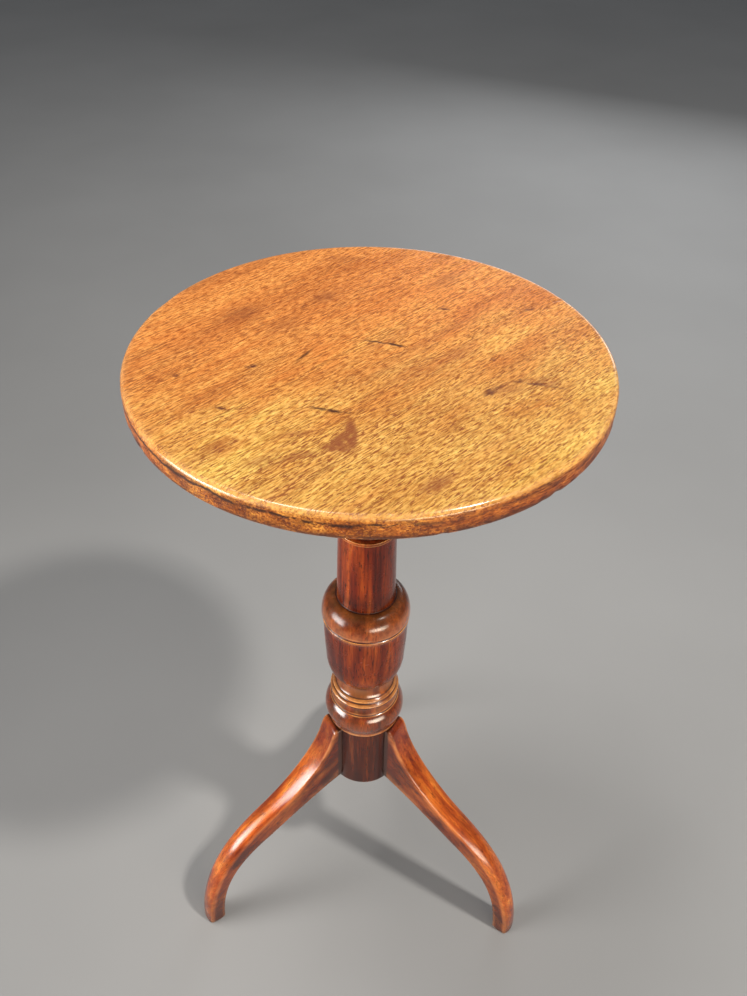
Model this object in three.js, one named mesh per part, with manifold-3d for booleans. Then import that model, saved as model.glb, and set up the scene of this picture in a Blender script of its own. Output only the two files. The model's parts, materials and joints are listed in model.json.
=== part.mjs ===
// Tilt top table: a round top on a turned column with three swept legs.
// Millimetres, +Z up, the floor at z = 0. The column stands on the line x = 0, y = COLUMN_Y.
// -Y is the front: two legs point front-left and front-right and one points straight back.
// The top turns about two pins in a block on the column. Bearers on its underside hold the pins,
// and a sprung brass catch on the far side of the block holds the top down.

import * as THREE from 'three';
import { mergeVertices } from 'three/addons/utils/BufferGeometryUtils.js';
import Module from 'manifold-3d';

const wasm = await Module();
wasm.setup();

// ---------------------------------------------------------------- driving dimensions

const GAP = 0.3; // left between two pieces that touch

// Top
const TOP_RADIUS = 187;
const TOP_THICKNESS = 22;
const TABLE_HEIGHT = 700;
const TOP_ARRIS = 3;
const UNDER_ARRIS = 6;
const UNDERSIDE = TABLE_HEIGHT - TOP_THICKNESS;

// Legs
const LEG_AZIMUTHS = { leg_back: 90, leg_front_left: 210, leg_front_right: 330 };
const LEG_THICKNESS = 26;
const FOOT_THICKNESS = 23;
const FOOT_REACH = 203.5;
const FOOT_DEPTH = 20;
const HEEL = { rise: 5, length: 7 }; // the sole's inner edge is worn away
const LEG_TOP = 264;
const LEG_ARRIS = 3.5;

// Column
const BASE_RADIUS = 35.5;
const BASE_BOTTOM = 182;
const BASE_TOP = 266;
const COLUMN_TOP = 652;
const TENON_RADIUS = 15;
const DOVETAIL = { root: 20, throatHalf: 6, backHalf: 8.5, top: 258 };
const COLUMN_Y = -(FOOT_REACH - TOP_RADIUS) / 2; // centres the table's outline on the origin

// Block, bearers and pivot. Here x points away from the pivot, towards the catch.
const TILT_AZIMUTH = -30;
const PIVOT = { x: -45, z: UNDERSIDE - 13, radius: 5, clearance: 0.3 };
const BLOCK = { halfLength: 57.5, halfWidth: 55, bottom: COLUMN_TOP, top: UNDERSIDE - GAP };
const BEARER = { halfLength: 148, width: 22, height: 24, sideGap: 0.8, endRise: 13, endLength: 26 };
const BEARER_Y = BLOCK.halfWidth + BEARER.sideGap + BEARER.width / 2;
const BEARER_SCREWS_X = [-110, 20, 110];

// Catch
const BOLT_TRAVEL = 8;
const BOLT = { tip: 62, length: 26, width: 12.4, bottom: UNDERSIDE - 10, height: 6, bevel: 4.5 };
const CASE = { start: 67, end: 107, halfWidth: 8.5, wall: 2, flange: 17, flangeThickness: 1.5 };
const KNOB_X = 78;
const KNOB_SHANK = 2;
const STRIKE = { thickness: 1.2, halfWidth: 17, bottom: UNDERSIDE - 18, top: UNDERSIDE - 2 };
const STRIKE_HOLE = { halfWidth: 6.8, bottom: BOLT.bottom - 0.6, top: BOLT.bottom + BOLT.height + 0.6 };
const MORTISE_DEPTH = 6;

// Round pieces are drawn with this many sides
const SIDES = { top: 72, column: 36, pin: 20, screw: 10 };

// ---------------------------------------------------------------- materials

function material(color, roughness, metalness) {
  return () => new THREE.MeshStandardMaterial({ color, roughness, metalness });
}

const oak = material(0xc17a3c, 0.4, 0);
const mahogany = material(0x6e2c17, 0.3, 0);
const legWood = material(0x9a4a1f, 0.3, 0);
const underWood = material(0x80502c, 0.7, 0);
const brass = material(0xb08d4a, 0.35, 1);
const iron = material(0x3a3836, 0.6, 1);

// ---------------------------------------------------------------- solids

// A closed mesh as a solid, with its shared vertices merged
function toSolid(geometry) {
  const bare = geometry.clone();
  bare.deleteAttribute('normal');
  bare.deleteAttribute('uv');
  const merged = mergeVertices(bare, 1e-4);
  const mesh = new wasm.Mesh({
    numProp: 3,
    vertProperties: new Float32Array(merged.attributes.position.array),
    triVerts: new Uint32Array(merged.index.array),
  });
  return new wasm.Manifold(mesh);
}

function toGeometry(solid) {
  const mesh = solid.getMesh();
  const geometry = new THREE.BufferGeometry();
  geometry.setAttribute('position', new THREE.BufferAttribute(new Float32Array(mesh.vertProperties), 3));
  geometry.setIndex(new THREE.BufferAttribute(new Uint32Array(mesh.triVerts), 1));
  geometry.computeVertexNormals();
  return geometry;
}

function cut(geometry, ...tools) {
  let solid = toSolid(geometry);
  for (const tool of tools) {
    solid = solid.subtract(toSolid(tool));
  }
  return toGeometry(solid);
}

function join(geometry, ...others) {
  let solid = toSolid(geometry);
  for (const other of others) {
    solid = solid.add(toSolid(other));
  }
  return toGeometry(solid);
}

function box(x0, x1, y0, y1, z0, z1) {
  const geometry = new THREE.BoxGeometry(x1 - x0, y1 - y0, z1 - z0);
  return geometry.translate((x0 + x1) / 2, (y0 + y1) / 2, (z0 + z1) / 2);
}

// A turned solid about the z axis, from [radius, z] points that run from the bottom to the top
function turned(points, sides) {
  const profile = points.map(([radius, z]) => new THREE.Vector2(radius, z));
  return new THREE.LatheGeometry(profile, sides).rotateX(Math.PI / 2);
}

// An outline of [x, z] points or a Shape in the xz plane, drawn out along y
function drawnOut(outline, y0, y1, options = {}) {
  const isShape = outline instanceof THREE.Shape;
  const shape = isShape ? outline : new THREE.Shape(outline.map(([x, z]) => new THREE.Vector2(x, z)));
  const geometry = new THREE.ExtrudeGeometry(shape, { depth: y1 - y0, bevelEnabled: false, ...options });
  return geometry.rotateX(Math.PI / 2).translate(0, y1, 0);
}

// A pin along z
function pin(radius, z0, z1, sides) {
  return turned([[0, z0], [radius, z0], [radius, z1], [0, z1]], sides);
}

// Points on a quarter of an ellipse, from the angle start to the angle end in degrees
function ellipseArc(radius, z, halfWidth, halfHeight, start, end, steps) {
  const points = [];
  for (let i = 0; i <= steps; i += 1) {
    const angle = THREE.MathUtils.degToRad(start + ((end - start) * i) / steps);
    points.push([radius + halfWidth * Math.cos(angle), z + halfHeight * Math.sin(angle)]);
  }
  return points;
}

// A bowed stretch of profile between two [radius, z] points, proud of the chord by bow
function bowed(from, to, bow, steps) {
  const points = [];
  for (let i = 0; i <= steps; i += 1) {
    const t = i / steps;
    const radius = from[0] + (to[0] - from[0]) * t + 4 * bow * t * (1 - t);
    points.push([radius, from[1] + (to[1] - from[1]) * t]);
  }
  return points;
}

// A slotted screw that points up, with its head's outer face at z = 0. A flat head is a cone
// sunk into the work; a round head stands below z = 0. clearance makes the hole for it.
function screw({ head, shank, length, round = false }, clearance = 0) {
  const c = clearance;
  const cone = head - shank;
  const tip = [[shank + c, length - shank + c], [0, length + c]];
  const start = round ? [[0, -head / 2], [head * 0.7, -head * 0.4], [head, -c]] : [[0, -4 * c], [head + c, -4 * c]];
  const neck = round ? [[shank + c, c > 0 ? -c : 0]] : [[head + c, c > 0 ? 0.2 : 0.4], [shank + c, cone + 0.4]];
  const body = turned([...start, ...neck, ...tip], SIDES.screw);
  if (clearance > 0) {
    return body;
  }
  const slotTop = round ? 0.3 - head / 4 : 0.8;
  return cut(body, box(-head - 1, head + 1, -0.5, 0.5, -head, slotTop));
}

const BEARER_SCREW = { head: 4.4, shank: 2.2, length: 33 };
const PLATE_SCREW = { head: 4.2, shank: 2.1, length: 20, round: true };
const CATCH_SCREW = { head: 2.6, shank: 1.3, length: 11 };
const STRIKE_SCREW = { head: 2.5, shank: 1.3, length: 13 };

// ---------------------------------------------------------------- the scene

const table = new THREE.Group();
table.position.y = COLUMN_Y;

// Everything about the pivot is drawn in a frame turned to the tilt's direction
const tiltFrame = new THREE.Group();
tiltFrame.rotation.z = THREE.MathUtils.degToRad(TILT_AZIMUTH);
table.add(tiltFrame);

function add(parent, name, geometry, look) {
  const mesh = new THREE.Mesh(geometry, look());
  mesh.name = name;
  parent.add(mesh);
  return mesh;
}

// ---------------------------------------------------------------- legs

const LEG_SLOPE_POINT = [120, 159.5]; // where the leg's back turns from hollow to round

// The side view of a leg: u runs out from the column's axis, v is height
function legOutline() {
  const inner = BASE_RADIUS - 4;
  const shape = new THREE.Shape();
  shape.moveTo(inner, LEG_TOP);
  shape.lineTo(inner, BASE_BOTTOM + 4);
  shape.bezierCurveTo(60, 171, 92, 148, 120, 126.5);
  shape.bezierCurveTo(162, 99, 181.5, 66, FOOT_REACH - FOOT_DEPTH, HEEL.rise);
  shape.lineTo(FOOT_REACH - FOOT_DEPTH + HEEL.length, 0);
  shape.lineTo(FOOT_REACH, 0);
  shape.bezierCurveTo(202, 86, 165, 127.8, ...LEG_SLOPE_POINT);
  shape.bezierCurveTo(76, 190, 45, 232, 42, LEG_TOP);
  shape.closePath();
  return shape;
}

// The plan view of a dovetail on the +x side, drawn up from z0 to z1; inset makes it smaller all round
function dovetail(inset, outer, z0, z1) {
  const { root, throatHalf, backHalf } = DOVETAIL;
  const shape = new THREE.Shape();
  shape.moveTo(root + inset, -backHalf + inset);
  shape.lineTo(outer, -throatHalf + inset);
  shape.lineTo(outer, throatHalf - inset);
  shape.lineTo(root + inset, backHalf - inset);
  shape.closePath();
  const geometry = new THREE.ExtrudeGeometry(shape, { depth: z1 - z0, bevelEnabled: false });
  return geometry.translate(0, 0, z0);
}

function legGeometry() {
  const blade = drawnOut(legOutline(), LEG_ARRIS - LEG_THICKNESS / 2, LEG_THICKNESS / 2 - LEG_ARRIS, {
    curveSegments: 12,
    bevelEnabled: true,
    bevelThickness: LEG_ARRIS,
    bevelSize: LEG_ARRIS,
    bevelOffset: -LEG_ARRIS,
    bevelSegments: 2,
  });
  // the leg narrows towards the foot
  const position = blade.attributes.position;
  for (let i = 0; i < position.count; i += 1) {
    const along = THREE.MathUtils.clamp((position.getX(i) - BASE_RADIUS) / (FOOT_REACH - BASE_RADIUS), 0, 1);
    position.setY(i, position.getY(i) * THREE.MathUtils.lerp(1, FOOT_THICKNESS / LEG_THICKNESS, along));
  }
  const coped = cut(blade, pin(BASE_RADIUS + GAP, 0, TABLE_HEIGHT, SIDES.column));
  const tongue = dovetail(GAP, BASE_RADIUS + 4, BASE_BOTTOM + 4, DOVETAIL.top - GAP);
  const screwHole = screw(PLATE_SCREW, GAP).translate(PLATE_SCREW_RADIUS, 0, BASE_BOTTOM - GAP - PLATE_THICKNESS);
  return cut(join(coped, tongue), screwHole);
}

// ---------------------------------------------------------------- plate under the column

const PLATE_THICKNESS = 1.5;
const PLATE_SCREW_RADIUS = 28;
const PLATE_HUB = 22;
const PLATE_ARM_HALF = 7;
const PLATE_REACH = 34;

// A hub with three arms, one over the foot of each dovetail slot
function basePlateGeometry() {
  const shape = new THREE.Shape();
  const armAngle = Math.asin(PLATE_ARM_HALF / PLATE_HUB);
  const third = (2 * Math.PI) / 3;
  for (let i = 0; i < 3; i += 1) {
    const azimuth = Math.PI / 2 + i * third;
    const out = new THREE.Vector2(Math.cos(azimuth), Math.sin(azimuth));
    const side = new THREE.Vector2(-out.y, out.x);
    for (const sign of [-1, 1]) {
      const corner = out.clone().multiplyScalar(PLATE_REACH).addScaledVector(side, sign * PLATE_ARM_HALF);
      if (i === 0 && sign < 0) {
        shape.moveTo(corner.x, corner.y);
      } else {
        shape.lineTo(corner.x, corner.y);
      }
    }
    shape.absarc(0, 0, PLATE_HUB, azimuth + armAngle, azimuth + third - armAngle, false);
  }
  shape.closePath();
  const plate = new THREE.ExtrudeGeometry(shape, { depth: PLATE_THICKNESS, bevelEnabled: false, curveSegments: 8 });
  const holes = Object.values(LEG_AZIMUTHS).map((azimuth) => {
    const hole = pin(PLATE_SCREW.shank + GAP, -1, PLATE_THICKNESS + 1, SIDES.screw);
    return hole.translate(PLATE_SCREW_RADIUS, 0, 0).rotateZ(THREE.MathUtils.degToRad(azimuth));
  });
  return cut(plate, ...holes);
}

function addBase() {
  const leg = legGeometry();
  let count = 0;
  for (const [name, azimuth] of Object.entries(LEG_AZIMUTHS)) {
    const turn = new THREE.Group();
    turn.rotation.z = THREE.MathUtils.degToRad(azimuth);
    table.add(turn);
    add(turn, name, leg, legWood);
    count += 1;
    const fixing = add(turn, `base_plate_screw_${count}`, screw(PLATE_SCREW), iron);
    fixing.position.set(PLATE_SCREW_RADIUS, 0, BASE_BOTTOM - GAP - PLATE_THICKNESS - GAP);
  }
  const plate = add(table, 'base_plate', basePlateGeometry(), iron);
  plate.position.z = BASE_BOTTOM - GAP - PLATE_THICKNESS;
}

// ---------------------------------------------------------------- column

// The turned outline of the column from its foot to the end of its tenon, as [radius, z]
function columnProfile() {
  return [
    [0, BASE_BOTTOM],
    [BASE_RADIUS, BASE_BOTTOM],
    [BASE_RADIUS, BASE_TOP],
    [37, BASE_TOP],
    [37, 270.5],
    ...bowed([37.8, 272], [35, 296], 4, 6), // collar
    [34, 296.5],
    ...bowed([33.8, 298], [33.2, 308], -1.2, 3), // cove above the collar
    ...bowed([33.6, 308.5], [33.6, 312], 1.2, 2), // lower ring
    [31.8, 312.5],
    ...bowed([31.2, 313.5], [31, 317.5], 1.3, 2), // upper ring
    ...bowed([29.2, 318], [27, 332], -1.6, 4), // cove under the urn
    [27, 333.5],
    ...ellipseArc(27, 362, 11.6, 28, -90, 0, 6), // the urn's tucked foot
    [39.8, 384],
    [40.6, 411],
    [41.6, 411.5],
    [41.6, 414],
    [40.6, 414.5],
    [40.6, 417],
    [42, 417.5],
    ...ellipseArc(28.6, 419, 13.8, 21.5, 0, 90, 6), // domed shoulder
    [27.7, 441],
    [26.2, 523],
    [27.4, 524], // rim at the head of the neck
    [27.4, 527],
    [23, 528.5],
    [20.5, 628],
    [22.5, 629],
    [22.5, 632],
    ...bowed([21, 633], [28, 644], -2, 3), // flare under the block
    [30, 645],
    [30, COLUMN_TOP - GAP],
    [TENON_RADIUS, COLUMN_TOP - GAP],
    [TENON_RADIUS, BLOCK.top - GAP],
    [0, BLOCK.top - GAP],
  ];
}

const WEDGE = { topHalf: 1.8, bottomHalf: 0.7, depth: 20, halfLength: 14.2 };

// The tenon's wedge, seen along y: wide at the top. grow makes the saw kerf that it is driven into.
function wedgeGeometry(grow, halfLength) {
  const top = BLOCK.top - GAP + (grow > 0 ? 1 : 0);
  const bottom = BLOCK.top - WEDGE.depth - grow;
  const outline = [
    [-WEDGE.bottomHalf - grow, bottom],
    [WEDGE.bottomHalf + grow, bottom],
    [WEDGE.topHalf + grow, top],
    [-WEDGE.topHalf - grow, top],
  ];
  return drawnOut(outline, -halfLength, halfLength);
}

function addColumn() {
  const slots = Object.values(LEG_AZIMUTHS).map((azimuth) => {
    const slot = dovetail(0, BASE_RADIUS + 2, BASE_BOTTOM - 1, DOVETAIL.top);
    return slot.rotateZ(THREE.MathUtils.degToRad(azimuth));
  });
  const kerf = wedgeGeometry(GAP, TENON_RADIUS + 2).rotateZ(THREE.MathUtils.degToRad(TILT_AZIMUTH));
  add(table, 'column', cut(turned(columnProfile(), SIDES.column), kerf, ...slots), mahogany);
  add(tiltFrame, 'tenon_wedge', wedgeGeometry(0, WEDGE.halfLength), legWood);
}

// ---------------------------------------------------------------- block and pivot pins

// The block seen along the pivot: its upper edge by the pivot is rounded, so that the top can swing
function blockOutline() {
  const { halfLength, bottom, top } = BLOCK;
  const nose = top - PIVOT.z;
  const shape = new THREE.Shape();
  shape.moveTo(halfLength, bottom);
  shape.lineTo(halfLength, top);
  shape.lineTo(PIVOT.x, top);
  shape.absarc(PIVOT.x, PIVOT.z, nose - 0.2, Math.PI / 2, Math.PI, false);
  shape.lineTo(PIVOT.x - nose + 0.2, bottom);
  shape.closePath();
  return shape;
}

function strikeScrewAt(y, clearance) {
  const geometry = screw(STRIKE_SCREW, clearance).rotateY(-Math.PI / 2);
  return geometry.translate(BLOCK.halfLength + GAP + STRIKE.thickness, y, UNDERSIDE - 9);
}

const STRIKE_SCREWS_Y = [-12, 12];

function addBlock() {
  const raw = drawnOut(blockOutline(), -BLOCK.halfWidth, BLOCK.halfWidth, { curveSegments: 10 });
  const tenonHole = pin(TENON_RADIUS + GAP, BLOCK.bottom - 1, BLOCK.top + 1, SIDES.column);
  const pinHole = pin(PIVOT.radius + GAP, -BLOCK.halfWidth - 1, BLOCK.halfWidth + 1, SIDES.pin);
  pinHole.rotateX(Math.PI / 2).translate(PIVOT.x, 0, PIVOT.z);
  const mortise = box(
    BLOCK.halfLength - MORTISE_DEPTH, BLOCK.halfLength + 1,
    -STRIKE_HOLE.halfWidth, STRIKE_HOLE.halfWidth, STRIKE_HOLE.bottom, STRIKE_HOLE.top,
  );
  const screwHoles = STRIKE_SCREWS_Y.map((y) => strikeScrewAt(y, GAP));
  add(tiltFrame, 'top_block', cut(raw, tenonHole, pinHole, mortise, ...screwHoles), mahogany);

  for (const [name, side] of [['pivot_pin_left', -1], ['pivot_pin_right', 1]]) {
    const inner = BLOCK.halfWidth - 18;
    const outer = BEARER_Y + BEARER.width / 2 - 0.6;
    const geometry = pin(PIVOT.radius, inner, outer, SIDES.pin).rotateX((-side * Math.PI) / 2);
    add(tiltFrame, name, geometry.translate(PIVOT.x, 0, PIVOT.z), iron);
  }
}

// ---------------------------------------------------------------- strike plate on the block

function addStrike() {
  const x0 = BLOCK.halfLength + GAP;
  const plate = box(x0, x0 + STRIKE.thickness, -STRIKE.halfWidth, STRIKE.halfWidth, STRIKE.bottom, STRIKE.top);
  const hole = box(
    x0 - 1, x0 + STRIKE.thickness + 1,
    -STRIKE_HOLE.halfWidth, STRIKE_HOLE.halfWidth, STRIKE_HOLE.bottom, STRIKE_HOLE.top,
  );
  const screwHoles = STRIKE_SCREWS_Y.map((y) => strikeScrewAt(y, GAP));
  add(tiltFrame, 'strike_plate', cut(plate, hole, ...screwHoles), brass);
  STRIKE_SCREWS_Y.forEach((y, i) => add(tiltFrame, `strike_screw_${i + 1}`, strikeScrewAt(y, 0), brass));
}

// ---------------------------------------------------------------- bearers and their screws

function bearerScrewAt(x, y, clearance) {
  return screw(BEARER_SCREW, clearance).translate(x, y, UNDERSIDE - GAP - BEARER.height);
}

function addBearers() {
  const top = UNDERSIDE - GAP;
  const bottom = top - BEARER.height;
  const { halfLength, endLength, endRise } = BEARER;
  // the underside rises towards both ends
  const outline = [
    [-halfLength, bottom + endRise],
    [-halfLength + endLength, bottom],
    [halfLength - endLength, bottom],
    [halfLength, bottom + endRise],
    [halfLength, top],
    [-halfLength, top],
  ];
  for (const [side, sign] of [['left', -1], ['right', 1]]) {
    const y = sign * BEARER_Y;
    const raw = drawnOut(outline, y - BEARER.width / 2, y + BEARER.width / 2);
    const pivotHole = pin(PIVOT.radius + PIVOT.clearance, -BEARER_Y * 2, BEARER_Y * 2, SIDES.pin);
    pivotHole.rotateX(Math.PI / 2).translate(PIVOT.x, 0, PIVOT.z);
    const holes = BEARER_SCREWS_X.map((x) => bearerScrewAt(x, y, GAP));
    add(tiltFrame, `bearer_${side}`, cut(raw, pivotHole, ...holes), underWood);
    BEARER_SCREWS_X.forEach((x, i) => {
      add(tiltFrame, `bearer_screw_${side}_${i + 1}`, bearerScrewAt(x, y, 0), iron);
    });
  }
}

// ---------------------------------------------------------------- top

function addTop() {
  const edge = [
    [0, UNDERSIDE],
    ...ellipseArc(TOP_RADIUS - UNDER_ARRIS, UNDERSIDE + UNDER_ARRIS, UNDER_ARRIS, UNDER_ARRIS, -90, 0, 4),
    ...ellipseArc(TOP_RADIUS - TOP_ARRIS, TABLE_HEIGHT - TOP_ARRIS, TOP_ARRIS, TOP_ARRIS, 0, 90, 4),
    [0, TABLE_HEIGHT],
  ];
  const board = turned(edge, SIDES.top);
  const holes = [];
  for (const sign of [-1, 1]) {
    for (const x of BEARER_SCREWS_X) {
      holes.push(bearerScrewAt(x, sign * BEARER_Y, GAP));
    }
  }
  for (const [x, y] of CATCH_SCREWS) {
    holes.push(catchScrewAt(x, y, GAP));
  }
  add(tiltFrame, 'table_top', cut(board, ...holes), oak);
}

// ---------------------------------------------------------------- catch

const CATCH_SCREWS = [[72, -12.8], [72, 12.8], [102, -12.8], [102, 12.8]];
const CASE_TOP = UNDERSIDE - GAP - CASE.flangeThickness;

function catchScrewAt(x, y, clearance) {
  return screw(CATCH_SCREW, clearance).translate(x, y, CASE_TOP);
}

// A case with flanges against the underside, open towards the block, with a slot for the knob
function catchCaseGeometry() {
  const { start, end, halfWidth, wall, flange } = CASE;
  const bottom = BOLT.bottom - GAP - wall;
  const shell = join(
    box(start - 4, end + 4, -flange, flange, CASE_TOP, UNDERSIDE - GAP),
    box(start, end, -halfWidth, halfWidth, bottom, CASE_TOP + 0.5),
  );
  const boltRoom = box(
    start - 1, end - wall,
    -BOLT.width / 2 - GAP, BOLT.width / 2 + GAP, BOLT.bottom - GAP, BOLT.bottom + BOLT.height + GAP,
  );
  const knobRoom = box(
    KNOB_X - BOLT_TRAVEL - KNOB_SHANK - GAP, KNOB_X + KNOB_SHANK + GAP,
    -KNOB_SHANK - GAP, KNOB_SHANK + GAP, bottom - 1, BOLT.bottom,
  );
  return cut(shell, boltRoom, knobRoom, ...CATCH_SCREWS.map(([x, y]) => catchScrewAt(x, y, GAP)));
}

// The bolt's nose is bevelled below, so that it rides over the strike plate as the top comes down
function catchBoltGeometry() {
  const { tip, length, bottom, height, bevel, width } = BOLT;
  const outline = [
    [tip + bevel, bottom],
    [tip + length, bottom],
    [tip + length, bottom + height],
    [tip, bottom + height],
    [tip, bottom + 1.5],
  ];
  const bar = drawnOut(outline, -width / 2, width / 2);
  return cut(bar, pin(KNOB_SHANK + GAP, bottom - 1, bottom + 4, SIDES.screw).translate(KNOB_X, 0, 0));
}

function catchKnobGeometry() {
  const head = BOLT.bottom - CASE.wall - 12;
  const profile = [
    [0, head],
    ...ellipseArc(0, head + 4, 4.6, 4, -70, 60, 6),
    [KNOB_SHANK, head + 8],
    [KNOB_SHANK, BOLT.bottom + 4 - GAP],
    [0, BOLT.bottom + 4 - GAP],
  ];
  return turned(profile, SIDES.screw).translate(KNOB_X, 0, 0);
}

// A helix about the x axis, squashed between the bolt and the end of the case
class SpringPath extends THREE.Curve {
  constructor(start, end, radius, turns) {
    super();
    Object.assign(this, { start, end, radius, turns });
  }

  getPoint(t) {
    const angle = 2 * Math.PI * this.turns * t;
    const x = this.start + (this.end - this.start) * t;
    const z = BOLT.bottom + BOLT.height / 2 + this.radius * Math.sin(angle);
    return new THREE.Vector3(x, this.radius * Math.cos(angle), z);
  }
}

function catchSpringGeometry() {
  const wire = 0.45;
  const start = BOLT.tip + BOLT.length + GAP + wire;
  const end = CASE.end - CASE.wall - GAP - wire;
  const section = new THREE.Shape();
  for (let i = 0; i < 5; i += 1) {
    const angle = (i * 2 * Math.PI) / 5;
    const method = i === 0 ? 'moveTo' : 'lineTo';
    section[method](wire * Math.cos(angle), wire * Math.sin(angle));
  }
  section.closePath();
  const turns = 6;
  const path = new SpringPath(start, end, 2.3, turns);
  return new THREE.ExtrudeGeometry(section, { steps: turns * 10, extrudePath: path, bevelEnabled: false });
}

function addCatch() {
  add(tiltFrame, 'catch_case', catchCaseGeometry(), brass);
  add(tiltFrame, 'catch_bolt', catchBoltGeometry(), brass);
  add(tiltFrame, 'catch_knob', catchKnobGeometry(), brass);
  add(tiltFrame, 'catch_spring', catchSpringGeometry(), iron);
  CATCH_SCREWS.forEach(([x, y], i) => add(tiltFrame, `catch_screw_${i + 1}`, catchScrewAt(x, y, 0), brass));
}

addTop();
addBearers();
addCatch();
addBlock();
addStrike();
addColumn();
addBase();

export default table;
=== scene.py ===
"""Looks of the tilt top table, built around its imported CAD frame.

Lengths are written in millimetres and angles in degrees, and they become metres and radians where
they are used. The lights are in metres, and the fineness of a noise is a number per metre. Turned
and carved pieces are modelled finely here and stand for their CAD nodes. Flat pieces keep the CAD
shape and get rounded edges. Every material is procedural.
"""

import json
import random
from math import atan, atan2, cos, degrees, hypot, pi, radians, sin

import bpy
from mathutils import Matrix, Vector, noise

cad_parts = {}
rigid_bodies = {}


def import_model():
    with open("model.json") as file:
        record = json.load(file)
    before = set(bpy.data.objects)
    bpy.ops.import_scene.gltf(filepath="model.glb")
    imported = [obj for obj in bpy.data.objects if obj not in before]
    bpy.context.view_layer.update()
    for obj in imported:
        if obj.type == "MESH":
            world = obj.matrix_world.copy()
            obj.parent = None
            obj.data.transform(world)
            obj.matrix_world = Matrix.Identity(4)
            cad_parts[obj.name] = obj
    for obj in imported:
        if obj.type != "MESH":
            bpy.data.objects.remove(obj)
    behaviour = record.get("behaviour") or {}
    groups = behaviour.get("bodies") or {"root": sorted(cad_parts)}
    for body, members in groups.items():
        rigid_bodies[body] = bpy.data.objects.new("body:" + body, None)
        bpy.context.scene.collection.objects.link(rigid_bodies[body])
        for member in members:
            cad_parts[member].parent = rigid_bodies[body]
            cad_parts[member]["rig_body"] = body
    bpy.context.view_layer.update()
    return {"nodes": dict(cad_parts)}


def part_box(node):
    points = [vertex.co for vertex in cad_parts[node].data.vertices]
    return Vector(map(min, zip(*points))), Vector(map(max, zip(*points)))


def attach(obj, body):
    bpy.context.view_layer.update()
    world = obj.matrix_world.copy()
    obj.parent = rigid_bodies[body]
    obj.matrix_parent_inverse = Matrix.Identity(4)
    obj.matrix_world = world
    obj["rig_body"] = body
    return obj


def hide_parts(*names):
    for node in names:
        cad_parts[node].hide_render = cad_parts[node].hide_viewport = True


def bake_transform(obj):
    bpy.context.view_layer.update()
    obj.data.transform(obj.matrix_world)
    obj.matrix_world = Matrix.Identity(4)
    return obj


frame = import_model()

MM = 0.001

# ------------ sizes read from the frame

top_low, top_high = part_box("table_top")
TOP_RADIUS = (top_high.x - top_low.x) / 2 / MM
TOP_HEIGHT = top_high.z / MM
TOP_UNDERSIDE = top_low.z / MM
AXIS = Vector((0, (top_low.y + top_high.y) / 2, 0))  # the foot of the column's centre line
TABLE = Matrix.Translation(AXIS)

# ------------ driving dimensions, millimetres

GAP = 0.3  # left between two pieces that touch
MARGIN = 2  # how far a cutting shape stands past what it cuts

TOP_ARRIS = 4.5
UNDER_ARRIS = 6
SMOOTH_SIDES = 160  # round the column
CRISP = 38  # faces that meet at more than this many degrees are shaded with a crisp line

LEG_AZIMUTHS = {"leg_back": 90, "leg_front_left": 210, "leg_front_right": 330}
LEG_HALF = 13
FOOT_HALF = 11.5
FOOT_REACH = 203.5
LEG_TOP = 264
FEET_DARKER_BELOW = 75  # the feet are darker below this height

BASE_RADIUS = 35.5
BASE_BOTTOM = 182
BASE_TOP = 266
COLUMN_SHOULDER = 651.7
COLUMN_TOP = 677.4
TENON_RADIUS = 15
DOVETAIL = {"root": 20, "throat": 6, "back": 8.5, "top": 258}
WEDGE = {"top": 1.8, "bottom": 0.7, "depth": 20}

# bands of the column by height, each fading in over its first pair and out over its second
LIP = ((265, 266), (268, 270.5))  # the bead under the collar, painted pale as highlight
RINGS_SHEEN = ((296, 298), (326, 331))  # the coves and rings under the urn, painted pale as reflection
URN = ((331, 336), (405, 412))  # duller than the turnings above and below
SHOULDER = ((414, 418), (426, 435))  # the dome, painted a little paler as sheen
CROWN = ((424, 437), (450, 470))  # the dome round the neck, painted darker as shade

TILT_AZIMUTH = -30
TILT = TABLE @ Matrix.Rotation(radians(TILT_AZIMUTH), 4, "Z")
PIVOT = {"x": -45, "z": 665, "radius": 5, "inner": 37, "outer": 77.2}
BEARER_Y = 66.8
BEARER_BOTTOM = 653.7
BEARER_SCREWS_X = (-110, 20, 110)
FLANGE_BOTTOM = 676.2
CATCH_SCREWS = ((72, -12.8), (72, 12.8), (102, -12.8), (102, 12.8))
STRIKE_FACE = 59
STRIKE_SCREWS_Y = (-12, 12)
STRIKE_SCREW_Z = 669
KNOB = {"x": 78, "head": 654, "shank": 2, "top": 671.7}
SPRING = {"start": 88.75, "end": 104.25, "z": 671, "coil": 2.3, "wire": 0.45, "turns": 6}
PLATE_SCREW_RADIUS = 28
PLATE_SCREW_Z = 179.9

BEARER_SCREW = {"head": 4.4, "shank": 2.2, "length": 33}
PLATE_SCREW = {"head": 4.2, "shank": 2.1, "length": 20, "round_head": True}
CATCH_SCREW = {"head": 2.6, "shank": 1.3, "length": 11}
STRIKE_SCREW = {"head": 2.5, "shank": 1.3, "length": 13}


# ------------ outlines


def bowed(start, end, bow, steps):
    """Points of a bowed stretch between two (radius, z) points, proud of the chord by bow."""
    points = []
    for i in range(steps + 1):
        t = i / steps
        radius = start[0] + (end[0] - start[0]) * t + 4 * bow * t * (1 - t)
        points.append((radius, start[1] + (end[1] - start[1]) * t))
    return points


def ellipse_arc(radius, z, half_width, half_height, start, end, steps):
    """Points on an ellipse about (radius, z), from the angle start to the angle end in degrees."""
    points = []
    for i in range(steps + 1):
        angle = radians(start + (end - start) * i / steps)
        points.append((radius + half_width * cos(angle), z + half_height * sin(angle)))
    return points


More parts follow.
